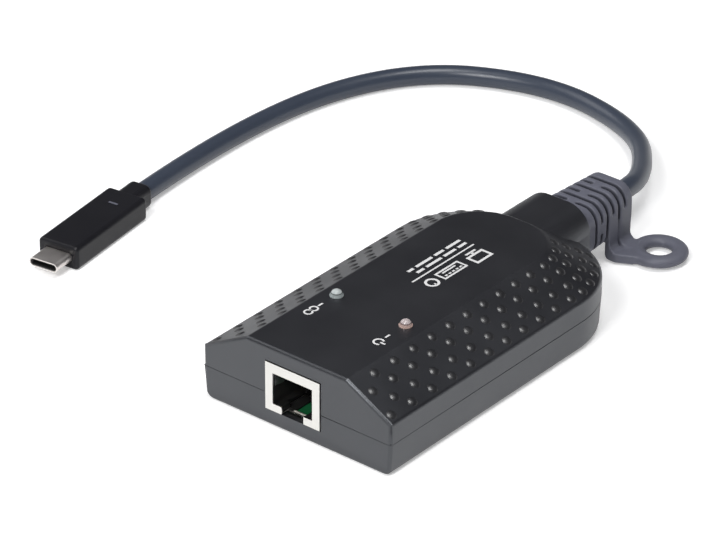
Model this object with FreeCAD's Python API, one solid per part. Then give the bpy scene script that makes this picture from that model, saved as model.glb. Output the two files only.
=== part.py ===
"""Network console adapter: a wedge-topped two-part housing with a network jack in
its front, a grooved strain relief with a hanging eye, and a short USB-C cord.

Millimetres. X is across, Y runs from the jack to the cord, Z is up. Sizes are laid
out from the housing's front face and moved to the middle of the length at the end.
"""
import FreeCAD, Part
import math
import os

# network jack
JACK_X = -0.9
JACK_W = 16.2
JACK_H = 12.6
JACK_Z = 4.33            # underside of the jack, top of the board
JACK_L = 21.0
JACK_PROUD = 0.25
JACK_GAP = 0.2           # gap round the jack in the front wall
SHIELD_T = 0.4
SHIELD_FOLD = 2.0        # depth of the latch notch in the shield
SHIELD_ROOM = 0.05       # between shield and insulator
MOUTH_W = 11.8
MOUTH_H = 8.2
MOUTH_UP = 1.95          # bar under the mouth
MOUTH_L = 13.5
LATCH_W = 6.6
LATCH_H = 1.5
LATCH_L = 11.0
WINDOW_W = 8.8           # window in the jack's floor, over the board
WINDOW_START = 3.0
WINDOW_L = 6.5
CONTACTS = 8
CONTACT_PITCH = 1.02
CONTACT_W = 0.45
CONTACT_T = 0.35
CONTACT_RISE = 1.7       # how far a contact leans down on its way back
CONTACT_START = 2.2      # front end of the contacts behind the shield
CONTACT_FLAT = 0.8

# housing
HALF_W = 28.0            # half the width over the side walls
BODY_L = 94.4            # front face to the back of the rounded rear
HEAD_ROOM = 2.12         # over the jack, inside the cover
SIDE_RUN = 13.25         # how far the side shoulders slope inwards
REAR_RUN = 11.0          # how far the rear shoulder slopes forwards
SHOULDER_RISE = 7.15     # height of the sloped shoulders
REAR_FLAT = 5.5          # half the straight part of the rear, between its corners
TOP_FLAT = 1.95          # the same at the flat top
WALL = 2.0
FLOOR = 2.0
PARTING_Z = 8.64         # line between the lower tray and the upper cover
TRAY_DRAFT = 0.5         # how much the tray narrows down to its foot
FOOT_R = 2.0
TOP_EDGE_R = 1.4
FRONT_EDGE_R = 0.9
FRONT_SPARE = 2.0        # drawn past the front face, then trimmed flat
NEAR = 0.01              # room for picking edges by their place
GROOVE_H = 0.22          # shadow line at the parting
GROOVE_D = 0.3
TONGUE_T = 0.85          # lip of the tray inside the cover
TONGUE_H = 1.2
SEAT = 0.12              # clearance between pieces that slide into each other
HEIGHT = JACK_Z + JACK_H + HEAD_ROOM + WALL
SHOULDER_Z = HEIGHT - SHOULDER_RISE
TOP_HALF_W = HALF_W - SIDE_RUN
TOP_L = BODY_L - REAR_RUN
CORNER_R = HALF_W - REAR_FLAT
TOP_CORNER_R = TOP_HALF_W - TOP_FLAT

# neck
AXIS_Z = 11.0            # cord axis above the table
NECK_L = 4.4             # neck behind the housing
NECK_END = BODY_L + NECK_L
NECK_HALF_W = 9.8
NECK_HALF_H = 9.5
NECK_R = 6.8
NECK_BURIED = 7.4        # start of the neck in front of the rear slope
NECK_START = TOP_L - NECK_BURIED

# grip studs on the shoulders
STUD_ROWS = 4
STUD_AT = (0.16, 0.385, 0.64, 0.853)      # place of each row down the slope
STUD_FIRST_Y = (7.9, 3.6, 7.1, 2.5)       # first stud of each row
STUD_STEP = (7.14, 7.3, 7.3, 7.52)        # first step along each row
STUD_CLOSING = 0.176                      # each step is this much shorter than the last
STUD_FIRST_TURN = (2.0, 9.4, 2.0, 7.4)    # degrees round the rear corner
STUD_TURN_STEP = (16.2, 14.2, 13.3, 12.0)
STUD_LAST_TURN = 57.0
STUD_R = 1.25
STUD_TIP_R = 0.45
STUD_H = 0.5
STUD_SINK = 0.35
STUD_SIDES = 6

# circuit board and what stands on it
BOARD_T = 1.58
BOARD_MARGIN = 0.8       # between the board and the side walls
BOARD_FRONT = 2.8
BOARD_SHORT = 10.4       # board's rear in front of the housing's rear
BOARD_TIGHTER = 2.5      # its rear corners are this much tighter than the housing's
BOARD_HALF_W = HALF_W - WALL - BOARD_MARGIN
BOARD_REAR = BODY_L - BOARD_SHORT
BOARD_R = CORNER_R - BOARD_TIGHTER
POST_IN = 7.0            # screw posts in from the sides
POST_FRONT = 13.0
POST_REAR = 20.0         # rear posts in front of the board's rear
POST_X = HALF_W - POST_IN
POST_Y = (POST_FRONT, BOARD_REAR - POST_REAR)
POST_R = 3.0
BOARD_CLEAR = 0.08       # cover posts stop this far above the board
SCREW_R = 1.0
SCREW_ROOM = 0.04        # radial room in the pilot hole
PILOT_SPARE = 0.6        # pilot hole past the screw's end
SCREW_HOLE_R = 1.25
SCREW_HEAD_R = 1.9
SCREW_HEAD_H = 1.25
SCREW_L = 8.0
SCREW_RECESS_R = 2.2
SCREW_RECESS = 1.55
DRIVE_R = 0.6
DRIVE_DEPTH = 0.7

TRANSFORMER = (14.0, 10.0, 5.8)
MAIN_CHIP = (14.0, 14.0, 1.4)
MAIN_CHIP_X = 0.5
NETWORK_CHIP = (9.0, 9.0, 1.0)
NETWORK_CHIP_X = -15.0
MEMORY_CHIP = (8.0, 12.5, 1.1)
MEMORY_CHIP_X = 14.5
CRYSTAL_L = 10.5
CRYSTAL_W = 4.6
CRYSTAL_H = 3.5
CRYSTAL_X = -12.5
CAP_R = 3.15
CAP_H = 6.8
CAP_X = (8.0, 0.0, -8.0)
CAP_BASE = 6.6
CAP_BASE_H = 0.8

# lamps
LAMP_AT = ((-10.8, 27.6), (10.2, 27.2))
LAMP_R = 1.5
LAMP_FLANGE_R = 1.9
LAMP_FLANGE_H = 1.0
LAMP_BODY_H = 3.85       # base to where the dome starts
LAMP_PROUD = 1.7         # dome above the flat top
LAMP_GAP = 0.18
LEAD_T = 0.5
LEAD_PITCH = 2.54

# strain relief with its hanging eye
RELIEF_START = NECK_END + 0.1
RELIEF_L = 21.5
RELIEF_HALF_W = 8.3
RELIEF_END_HALF_W = 6.7
RELIEF_HALF_H = 6.5
RELIEF_R = 4.2
RELIEF_CORE_HALF_W = 4.3
RELIEF_CORE_HALF_H = 3.9
RELIEF_CORE_R = 2.8
SLOTS = 6
SLOT_FIRST = 5.3         # first slot's middle behind the relief's start
SLOT_PITCH = 2.6
SLOT_W = 1.1
SLOT_WEB = 2.6           # bar left standing between the two halves of a slot
THROAT_HALF_W = 5.9      # part of the relief inside the neck's end wall
THROAT_HALF_H = 4.9
THROAT_R = 3.4
FLANGE_T = 2.0
TAB_T = 1.5              # tab that drops from the relief's side to the eye
TAB_FRONT = 11.4         # front edge of the tab behind the relief's start
TAB_REAR = 21.1
TAB_TOP = AXIS_Z - 0.5 * SLOT_WEB
TAB_BEND_R = 1.8
TAB_SLOT = 4             # the slot that runs on down the tab, counted from 0
TAB_SLOT_D = 0.6
EYE_X = 15.5
EYE_BACK = 21.05         # middle of the eye behind the relief's start
EYE_Y = RELIEF_START + EYE_BACK
EYE_R = 7.35
EYE_HOLE_R = 3.3
EYE_Z = 0.5
EYE_T = 2.5
EYE_RIM_R = 4.9
EYE_RIM_H = 0.4
EYE_EDGE_R = 0.9

# cord
CORD_D = 5.2
CORD_FIT = 0.05          # radial room of the cord in the relief and the plug
CORD_ROUTE = (           # y from the neck's end
    (0.0, 8.2, 11.0),
    (0.0, 25.2, 11.0),
    (-4.3, 41.6, 7.6),
    (-23.4, 65.9, 3.4),
    (-58.2, 73.9, 2.65),
    (-93.3, 55.1, 2.65),
    (-105.9, 6.0, 2.65),
    (-99.9, -43.7, 3.1),
)
CORD_POINTS = tuple((x, NECK_END + y, z) for x, y, z in CORD_ROUTE)
BEND_SHARE = 0.45        # share of the shorter run that each bend takes
CORE_WIRES = 4
CORE_D = 0.9
CORE_RING_R = 0.85       # cores lie in a ring round the cord's axis
CORE_BUNDLED_L = 8.0     # stay together this far inside the neck
CORE_FANNED_L = 5.5      # straight into the header's plug
CORE_BORE_R = 1.75

HEADER = (9.0, 4.6, 5.2)
HEADER_WALL = 0.8
HEADER_REAR = 4.0        # board left free behind the header's row
HEADER_PITCH = 1.8
HEADER_PLUG_OUT = 3.2    # how far the plug stands out of its header

# USB-C plug
PLUG_AT = (-95.48, NECK_END - 75.68)      # middle of the overmould's front face
PLUG_YAW = 7.8
PLUG_W = 11.7
PLUG_H = 6.4
PLUG_L = 30.3
PLUG_R = 1.3
PLUG_END_R = 0.8
PLUG_NECK_W = 6.7
PLUG_NECK_H = 6.3
PLUG_NECK_R = 1.95
PLUG_NECK_L = 6.0
TIP_W = 8.25
TIP_H = 2.4
TIP_L = 6.3              # metal tip in front of the overmould
TIP_R = 1.19
TIP_BURIED = 3.0
TIP_T = 0.3
TIP_ROOM = 0.02          # between the tip and its insert
TIP_SET_BACK = 0.25      # insert behind the tip's rim
TIP_SLOT_W = 6.6
TIP_SLOT_H = 1.0
TIP_SLOT_L = 5.2
TIP_CONTACTS = 12
TIP_CONTACT_PITCH = 0.5
TIP_CONTACT = (0.26, 3.4, 0.12)
PLUG_BOARD = (8.6, 16.0, 0.8)

V = FreeCAD.Vector
REAR_END = EYE_Y + EYE_R
MID_Y = 0.5 * (REAR_END - JACK_PROUD)
MIDDLE = V(0, -MID_Y, 0)


# %% plain shapes
def line(a, b):
    return Part.LineSegment(V(*a), V(*b)).toShape()


def arc(a, mid, b):
    return Part.Arc(V(*a), V(*mid), V(*b)).toShape()


def box(x0, x1, y0, y1, z0, z1):
    return Part.makeBox(x1 - x0, y1 - y0, z1 - z0, V(x0, y0, z0))


def block(size, at, z):
    """Block of that size standing on z, with its middle over the point."""
    w, l, h = size
    return box(at[0] - w / 2, at[0] + w / 2, at[1] - l / 2, at[1] + l / 2, z, z + h)


def post(x, y, z0, z1, r):
    return Part.makeCylinder(r, z1 - z0, V(x, y, z0))


def fused(shapes):
    first, *rest = shapes
    return first.multiFuse(rest).removeSplitter() if rest else first


def plan_outline(z, half_w, front, rear, corner):
    """Straight front and sides, and two rounded rear corners."""
    side, cx = rear - corner, half_w - corner
    q = corner * math.sqrt(0.5)
    return Part.Wire([
        line((half_w, front, z), (-half_w, front, z)),
        line((-half_w, front, z), (-half_w, side, z)),
        arc((-half_w, side, z), (-cx - q, side + q, z), (-cx, rear, z)),
        line((-cx, rear, z), (cx, rear, z)),
        arc((cx, rear, z), (cx + q, side + q, z), (half_w, side, z)),
        line((half_w, side, z), (half_w, front, z)),
    ])


def rounded_wire(y, half_w, half_h, r, cx=0.0, cz=0.0):
    """Rounded rectangle across Y."""
    w, h, k = half_w, half_h, r * (1 - math.sqrt(0.5))
    p = lambda x, z: (cx + x, y, cz + z)
    return Part.Wire([
        line(p(w, -h + r), p(w, h - r)),
        arc(p(w, h - r), p(w - k, h - k), p(w - r, h)),
        line(p(w - r, h), p(-w + r, h)),
        arc(p(-w + r, h), p(-w + k, h - k), p(-w, h - r)),
        line(p(-w, h - r), p(-w, -h + r)),
        arc(p(-w, -h + r), p(-w + k, -h + k), p(-w + r, -h)),
        line(p(-w + r, -h), p(w - r, -h)),
        arc(p(w - r, -h), p(w - k, -h + k), p(w, -h + r)),
    ])


def rounded_bar(y0, y1, half_w, half_h, r, cx=0.0, cz=AXIS_Z):
    face = Part.Face(rounded_wire(y0, half_w, half_h, r, cx, cz))
    return face.extrude(V(0, y1 - y0, 0))


def edges_where(shape, test):
    return [e for e in shape.Edges if test(e.BoundBox)]


# %% housing form
SLOPE_RUN = HALF_W - TOP_HALF_W
SLOPE_RISE = HEIGHT - SHOULDER_Z
SLOPE_L = math.hypot(SLOPE_RUN, SLOPE_RISE)
SLOPE_NX = SLOPE_RISE / SLOPE_L
SLOPE_NZ = SLOPE_RUN / SLOPE_L
REAR_SLOPE_L = math.hypot(BODY_L - TOP_L, SLOPE_RISE)
REAR_NY = SLOPE_RISE / REAR_SLOPE_L
REAR_NZ = (BODY_L - TOP_L) / REAR_SLOPE_L


def side_outline(z, inset):
    return plan_outline(z, HALF_W - inset, -FRONT_SPARE, BODY_L - inset, CORNER_R - inset)


def roof_outline(inset):
    """Edge of the flat top, moved in so that the slopes stay parallel."""
    move_x = inset * (1 - SLOPE_NZ) / SLOPE_NX
    move_y = inset * (1 - REAR_NZ) / REAR_NY
    return plan_outline(HEIGHT - inset, TOP_HALF_W - move_x, -FRONT_SPARE, TOP_L - move_y,
                        TOP_CORNER_R - move_x)


def shoulder_z(inset):
    return SHOULDER_Z - inset * (1 - SLOPE_NX) / SLOPE_NZ


def flat_face(*points):
    return Part.Face(Part.makePolygon([V(*p) for p in points + points[:1]]))


def sloped_solid(bottom, top):
    """Solid between two matching outlines: flat sides, and ruled rear corners."""
    sides = []
    for low, high in zip(bottom.Edges, top.Edges):
        if "Line" in low.Curve.TypeId:
            a, b = [v.Point for v in low.Vertexes], [v.Point for v in high.Vertexes]
            sides.append(flat_face(a[0], a[1], b[1], b[0]))
        else:
            sides.append(Part.makeRuledSurface(low, high))
    return Part.makeSolid(Part.makeShell(sides + [Part.Face(bottom), Part.Face(top)]))


def trim_front(form, y):
    """Cut off what was drawn past the front."""
    b = form.BoundBox
    return form.cut(box(b.XMin - 1, b.XMax + 1, b.YMin - 1, y, b.ZMin - 1, b.ZMax + 1))


def cover_form(inset, z_low):
    """Upper half of the housing as a solid, every face moved in by the inset."""
    z_mid = shoulder_z(inset)
    lower = Part.Face(side_outline(z_low, inset)).extrude(V(0, 0, z_mid - z_low))
    roof = sloped_solid(side_outline(z_mid, inset), roof_outline(inset))
    return trim_front(lower.fuse(roof).removeSplitter(), inset)


def tray_form():
    """Lower half of the housing as a solid, a little narrower at its foot."""
    h, side, cx = PARTING_Z, BODY_L - CORNER_R, HALF_W - CORNER_R
    low_w, low_l = HALF_W - TRAY_DRAFT, BODY_L - TRAY_DRAFT
    across = flat_face((-low_w, -FRONT_SPARE, 0), (low_w, -FRONT_SPARE, 0),
                       (HALF_W, -FRONT_SPARE, h), (-HALF_W, -FRONT_SPARE, h))
    along = flat_face((-cx, side, 0), (-cx, low_l, 0), (-cx, BODY_L, h), (-cx, side, h))
    corners = [Part.makeCone(CORNER_R - TRAY_DRAFT, CORNER_R, h, V(x, side, 0)) for x in (-cx, cx)]
    form = fused([across.extrude(V(0, side + FRONT_SPARE, 0)), along.extrude(V(2 * cx, 0, 0))] + corners)
    foot = edges_where(form, lambda b: b.ZMax < NEAR and b.YMax > NEAR)
    form = trim_front(form.makeFillet(FOOT_R, foot), 0)
    front = edges_where(form, lambda b: b.YMax < NEAR and b.ZMin < PARTING_Z - NEAR)
    return form.makeFillet(FRONT_EDGE_R, front)


def neck_form(inset, y0, y1):
    return rounded_bar(y0, y1, NECK_HALF_W - inset, NECK_HALF_H - inset, NECK_R - inset)


def half_space(z0, z1):
    return box(-2 * HALF_W, 2 * HALF_W, -HALF_W, 2 * BODY_L, z0, z1)


def wall_prism(z0, z1, inset):
    """Upright prism inside the walls, flat at the front."""
    outline = plan_outline(z0, HALF_W - inset, inset, BODY_L - inset, CORNER_R - inset)
    return Part.Face(outline).extrude(V(0, 0, z1 - z0))


def lip(z0, z1, outer, inner):
    """Band that follows the wall, between two insets, left out at the neck."""
    ring = wall_prism(z0, z1, outer)
    hole = wall_prism(z0 - 1, z1 + 1, inner)
    gap = NECK_HALF_W + WALL
    mouth = box(-gap, gap, NECK_START, NECK_END, z0 - 1, z1 + 1)
    return ring.cut(hole).cut(mouth)


def jack_window():
    half = 0.5 * JACK_W + JACK_GAP
    return box(JACK_X - half, JACK_X + half, -1, WALL + TONGUE_T + 1,
               JACK_Z - JACK_GAP, JACK_Z + JACK_H + JACK_GAP)


def neck_cavity():
    """Room inside the neck, and the hole in its end wall for the relief."""
    room = neck_form(WALL, NECK_START, NECK_END - WALL)
    throat = rounded_bar(NECK_END - WALL - 1, NECK_END + 1, THROAT_HALF_W + SEAT,
                         THROAT_HALF_H + SEAT, THROAT_R + SEAT)
    return room.fuse(throat)


def screw_points():
    return [(side * POST_X, y) for y in POST_Y for side in (-1, 1)]


# %% grip studs
def slope_point(side, turn, share, y=None):
    """Point on a shoulder: straight beside the top, then round the rear corner."""
    if y is not None:
        outer = V(HALF_W, y, SHOULDER_Z)
        inner = V(TOP_HALF_W, y, HEIGHT)
    else:
        c, s = math.cos(turn), math.sin(turn)
        outer = V(HALF_W - CORNER_R + CORNER_R * c, BODY_L - CORNER_R + CORNER_R * s, SHOULDER_Z)
        inner = V(TOP_HALF_W - TOP_CORNER_R + TOP_CORNER_R * c,
                  TOP_L - TOP_CORNER_R + TOP_CORNER_R * s, HEIGHT)
    down = outer - inner
    tangent = V(0, 1, 0) if y is not None else V(-math.sin(turn), math.cos(turn), 0)
    normal = tangent.cross(down).negative() if tangent.cross(down).z < 0 else tangent.cross(down)
    at = inner + down * share
    return V(side * at.x, at.y, at.z), V(side * normal.x, normal.y, normal.z).normalize()


def stud(at, normal):
    """Low faceted stud, sunk a little into the slope."""
    foot = at - normal * STUD_SINK
    along = V(0, 0, 1).cross(normal).normalize()
    across = normal.cross(along)

    def ring(r, lift):
        turns = [2 * math.pi * k / STUD_SIDES for k in range(STUD_SIDES)]
        points = [foot + normal * lift + along * (r * math.cos(a)) + across * (r * math.sin(a)) for a in turns]
        return Part.makePolygon(points + points[:1])

    spread = (STUD_R - STUD_TIP_R) / STUD_H
    low = STUD_R + spread * STUD_SINK
    return Part.makeLoft([ring(low, 0), ring(STUD_TIP_R, STUD_SINK + STUD_H)], True, True)


def stud_places():
    places = []
    straight_end = min(BODY_L - CORNER_R, TOP_L - TOP_CORNER_R)
    for row in range(STUD_ROWS):
        y, step = STUD_FIRST_Y[row], STUD_STEP[row]
        while y < straight_end and step > 2 * STUD_R:
            places.append((None, STUD_AT[row], y))
            y += step
            step -= STUD_CLOSING
        turn = STUD_FIRST_TURN[row]
        while turn < STUD_LAST_TURN:
            places.append((math.radians(turn), STUD_AT[row], None))
            turn += STUD_TURN_STEP[row]
    return places


def grip_studs():
    studs = []
    for side in (-1, 1):
        for turn, share, y in stud_places():
            at, normal = slope_point(side, turn, share, y)
            studs.append(stud(at, normal))
    return studs


# %% housing pieces
def upper_cover():
    form = cover_form(0, PARTING_Z)
    front = edges_where(form, lambda b: b.YMax < NEAR and b.ZMax > PARTING_Z + NEAR)
    form = form.makeFillet(FRONT_EDGE_R, front)
    roof = edges_where(form, lambda b: b.ZMin > HEIGHT - NEAR and b.YMax > FRONT_EDGE_R + NEAR)
    form = form.makeFillet(TOP_EDGE_R, roof)
    neck = neck_form(0, NECK_START, NECK_END).common(half_space(PARTING_Z, 2 * HEIGHT))
    shell = form.fuse(neck)
    shell = shell.cut(cover_form(WALL, PARTING_Z - 1))
    inside = cover_form(0.5 * WALL, PARTING_Z - 1)
    inside = inside.fuse(half_space(JACK_Z, PARTING_Z))
    posts = [post(x, y, JACK_Z + BOARD_CLEAR, HEIGHT, POST_R).common(inside) for x, y in screw_points()]
    shell = shell.multiFuse(posts)
    pilot_top = SCREW_RECESS + SCREW_L + PILOT_SPARE
    pilots = [post(x, y, JACK_Z - 1, pilot_top, SCREW_R + SCREW_ROOM) for x, y in screw_points()]
    lamp_holes = [post(x, y, HEIGHT - 2 * WALL, HEIGHT + 1, LAMP_R + LAMP_GAP) for x, y in LAMP_AT]
    rebate = lip(PARTING_Z - 1, PARTING_Z + TONGUE_H + SEAT, WALL - TONGUE_T - SEAT, WALL + 0.5)
    shell = shell.cut(neck_cavity())
    shell = shell.cut(rebate)
    shell = shell.cut(jack_window())
    for tool in pilots + lamp_holes:
        shell = shell.cut(tool)
    return shell.multiFuse(grip_studs())


def lower_tray():
    neck = neck_form(0, NECK_START, NECK_END).common(half_space(-1, PARTING_Z))
    shell = tray_form().fuse(neck)
    shell = shell.cut(wall_prism(FLOOR, PARTING_Z + 1, WALL + TRAY_DRAFT))
    tongue = lip(FLOOR, PARTING_Z + TONGUE_H, WALL - TONGUE_T, WALL + TRAY_DRAFT)
    shell = shell.fuse(tongue.common(half_space(FLOOR + 1, HEIGHT)))
    groove = lip(PARTING_Z - GROOVE_H, PARTING_Z, -1, GROOVE_D)
    shell = shell.cut(groove)
    board_z = JACK_Z - BOARD_T
    shell = shell.multiFuse([post(x, y, 0.5 * FLOOR, board_z, POST_R) for x, y in screw_points()])
    shell = shell.cut(neck_cavity())
    shell = shell.cut(jack_window())
    for x, y in screw_points():
        shell = shell.cut(post(x, y, -1, board_z + 1, SCREW_HOLE_R))
        shell = shell.cut(post(x, y, -1, SCREW_RECESS, SCREW_RECESS_R))
    return shell


def housing_screws():
    def screw(x, y):
        head = post(x, y, SCREW_RECESS - SCREW_HEAD_H, SCREW_RECESS, SCREW_HEAD_R)
        shank = post(x, y, SCREW_RECESS, SCREW_RECESS + SCREW_L, SCREW_R)
        drive = post(x, y, SCREW_RECESS - SCREW_HEAD_H - 1, SCREW_RECESS - SCREW_HEAD_H + DRIVE_DEPTH, DRIVE_R)
        return head.fuse(shank).cut(drive)
    return Part.makeCompound([screw(x, y) for x, y in screw_points()])


# %% board and what stands on it
def board_rows():
    """Middle of each row of parts, evenly spaced between the jack and the board's rear."""
    lengths = [TRANSFORMER[1], MAIN_CHIP[1], CAP_BASE, HEADER[1]]
    gap = (BOARD_REAR - HEADER_REAR - JACK_L - sum(lengths)) / (len(lengths) + 1)
    rows, y = [], JACK_L
    for length in lengths:
        rows.append(y + gap + length / 2)
        y += gap + length
    return rows


TRANSFORMER_Y, CHIP_Y, CAP_Y, HEADER_Y = board_rows()


def circuit_board():
    outline = plan_outline(JACK_Z - BOARD_T, BOARD_HALF_W, BOARD_FRONT, BOARD_REAR, BOARD_R)
    board = Part.Face(outline).extrude(V(0, 0, BOARD_T))
    for x, y in screw_points():
        board = board.cut(post(x, y, 0, HEIGHT, SCREW_HOLE_R))
    return board


def capacitors():
    def can(x, y):
        base = block((CAP_BASE, CAP_BASE, CAP_BASE_H), (x, y), JACK_Z)
        return base.fuse(post(x, y, JACK_Z + CAP_BASE_H, JACK_Z + CAP_H, CAP_R))
    return Part.makeCompound([can(x, CAP_Y) for x in CAP_X])


def crystal_can():
    x, y = CRYSTAL_X, HEADER_Y
    run, r = CRYSTAL_L - CRYSTAL_W, CRYSTAL_W / 2
    body = block((run, CRYSTAL_W, CRYSTAL_H), (x, y), JACK_Z)
    ends = [post(x + side * run / 2, y, JACK_Z, JACK_Z + CRYSTAL_H, r) for side in (-1, 1)]
    return fused([body] + ends)


# %% network jack
def mouth(y0, y1):
    """Opening for the network plug."""
    z0 = JACK_Z + MOUTH_UP
    return box(JACK_X - MOUTH_W / 2, JACK_X + MOUTH_W / 2, y0, y1, z0, z0 + MOUTH_H)


def floor_window():
    return box(JACK_X - WINDOW_W / 2, JACK_X + WINDOW_W / 2, WINDOW_START, WINDOW_START + WINDOW_L,
               JACK_Z - 1, JACK_Z + MOUTH_UP + 1)


def jack_shield():
    half = JACK_W / 2
    shell = box(JACK_X - half, JACK_X + half, -JACK_PROUD, JACK_L, JACK_Z, JACK_Z + JACK_H)
    t = SHIELD_T
    inside = box(JACK_X - half + t, JACK_X + half - t, -JACK_PROUD + t, JACK_L - t, JACK_Z + t, JACK_Z + JACK_H - t)
    notch = box(JACK_X - LATCH_W / 2, JACK_X + LATCH_W / 2, -1, SHIELD_FOLD, JACK_Z - 1,
                JACK_Z + MOUTH_UP + 1)
    return shell.cut(inside).cut(mouth(-1, 1)).cut(notch).cut(floor_window())


def jack_insulator():
    t, half = SHIELD_T + SHIELD_ROOM, JACK_W / 2
    y0 = -JACK_PROUD + t
    body = box(JACK_X - half + t, JACK_X + half - t, y0, JACK_L - t, JACK_Z + t, JACK_Z + JACK_H - t)
    z0 = JACK_Z + MOUTH_UP
    latch = box(JACK_X - LATCH_W / 2, JACK_X + LATCH_W / 2, y0 - 1, y0 + LATCH_L, z0 - LATCH_H, z0 + 1)
    return body.cut(mouth(y0 - 1, y0 + MOUTH_L)).cut(latch).cut(floor_window())


def jack_contacts():
    """Eight flat springs that lean down from the mouth's roof to its back wall."""
    back = -JACK_PROUD + SHIELD_T + SHIELD_ROOM + MOUTH_L
    roof = JACK_Z + MOUTH_UP + MOUTH_H
    front = CONTACT_START
    profile = [(front, roof), (front + CONTACT_FLAT, roof), (back, roof - CONTACT_RISE),
               (back, roof - CONTACT_RISE - CONTACT_T), (front, roof - CONTACT_T)]

    def spring(k):
        x = JACK_X + (k - (CONTACTS - 1) / 2) * CONTACT_PITCH - CONTACT_W / 2
        return flat_face(*[(x, y, z) for y, z in profile]).extrude(V(CONTACT_W, 0, 0))
    return Part.makeCompound([spring(k) for k in range(CONTACTS)])


# %% lamps
def lamp(at):
    x, y = at
    top = HEIGHT + LAMP_PROUD
    dome_z = top - LAMP_R
    base = dome_z - LAMP_BODY_H
    body = post(x, y, base, dome_z, LAMP_R).fuse(post(x, y, base, base + LAMP_FLANGE_H, LAMP_FLANGE_R))
    dome = Part.makeSphere(LAMP_R, V(x, y, dome_z), V(0, 0, 1), 0, 90, 360)
    return body.fuse(dome).removeSplitter()


def lamp_leads():
    top = HEIGHT + LAMP_PROUD - LAMP_R - LAMP_BODY_H
    leads = [block((LEAD_T, LEAD_T, top - JACK_Z), (x + side * LEAD_PITCH / 2, y), JACK_Z)
             for x, y in LAMP_AT for side in (-1, 1)]
    return Part.makeCompound(leads)


# %% cord route
def route_wire(points):
    """Straight runs joined by arcs that touch both runs, and the arc radii."""
    pts = [V(*p) for p in points]
    edges, radii, at = [], [], pts[0]
    for before, corner, after in zip(pts, pts[1:], pts[2:]):
        into, out = (corner - before), (after - corner)
        cut = BEND_SHARE * min(into.Length, out.Length)
        half_turn = 0.5 * into.getAngle(out)
        radii.append(cut / math.tan(half_turn))
        start = corner - V(into).normalize() * cut
        end = corner + V(out).normalize() * cut
        inward = (start + end) * 0.5 - corner
        reach = radii[-1] / math.cos(half_turn) - radii[-1]
        middle = corner + inward.normalize() * reach
        edges += [Part.LineSegment(at, start).toShape(), Part.Arc(start, middle, end).toShape()]
        at = end
    edges.append(Part.LineSegment(at, pts[-1]).toShape())
    return Part.Wire(edges), radii


def tube(points, diameter):
    path, radii = route_wire(points)
    start, step = V(*points[0]), V(*points[1]) - V(*points[0])
    ring = Part.Wire([Part.makeCircle(diameter / 2, start, step)])
    return path.makePipeShell([ring], True, False), path, radii


def core_wires():
    """The cord's cores, from its cut end to the plug on the board."""
    start, end = CORD_POINTS[0][1], header_plug_end()
    bundled, fanned = NECK_END - CORE_BUNDLED_L, end + CORE_FANNED_L
    turns = [2 * math.pi * (k + 0.5) / CORE_WIRES for k in range(CORE_WIRES)]
    cores = []
    for k, turn in enumerate(sorted(turns, key=math.cos)):
        x0, z0 = CORE_RING_R * math.cos(turn), AXIS_Z + CORE_RING_R * math.sin(turn)
        x1, z1 = (k - (CORE_WIRES - 1) / 2) * HEADER_PITCH, header_mid_z()
        points = ((x0, start, z0), (x0, bundled, z0), (x1, fanned, z1), (x1, end, z1))
        cores.append(tube(points, CORE_D)[0])
    return Part.makeCompound(cores)


# %% connector for the cores
def header_mid_z():
    return JACK_Z + 0.5 * HEADER[2]


def header_plug_end():
    return HEADER_Y + HEADER[1] / 2 + HEADER_PLUG_OUT


def cord_header():
    w, l, h = HEADER
    t = HEADER_WALL
    shell = block(HEADER, (0, HEADER_Y), JACK_Z)
    inside = box(-w / 2 + t, w / 2 - t, HEADER_Y - l / 2 + t, HEADER_Y + l, JACK_Z + t, JACK_Z + h - t)
    return shell.cut(inside)


def header_plug():
    w, l, h = HEADER
    t = HEADER_WALL + SEAT
    return box(-w / 2 + t, w / 2 - t, HEADER_Y - l / 2 + HEADER_WALL, header_plug_end(),
               JACK_Z + t, JACK_Z + h - t)


# %% strain relief
def relief_body():
    end = RELIEF_START + RELIEF_L
    start_wire = rounded_wire(RELIEF_START, RELIEF_HALF_W, RELIEF_HALF_H, RELIEF_R, 0, AXIS_Z)
    end_wire = rounded_wire(end, RELIEF_END_HALF_W, RELIEF_HALF_H, RELIEF_R, 0, AXIS_Z)
    return Part.makeLoft([start_wire, end_wire], True, True)


def relief_slot(k):
    """Slot k, cut from both sides or from above and below in turn."""
    y = RELIEF_START + SLOT_FIRST + k * SLOT_PITCH
    y0, y1, far = y - SLOT_W / 2, y + SLOT_W / 2, 2 * RELIEF_HALF_W
    ring = box(-far, far, y0, y1, AXIS_Z - far, AXIS_Z + far)
    core = rounded_bar(y0 - 1, y1 + 1, RELIEF_CORE_HALF_W, RELIEF_CORE_HALF_H, RELIEF_CORE_R)
    half = SLOT_WEB / 2
    if k % 2 == 0:
        web = box(-half, half, y0 - 1, y1 + 1, AXIS_Z - far, AXIS_Z + far)
    else:
        web = box(-far, far, y0 - 1, y1 + 1, AXIS_Z - half, AXIS_Z + half)
    return ring.cut(core).cut(web)


def relief_side(y):
    """Half the relief's width, which narrows towards the cord."""
    share = (y - RELIEF_START) / RELIEF_L
    return RELIEF_HALF_W + share * (RELIEF_END_HALF_W - RELIEF_HALF_W)


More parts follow.
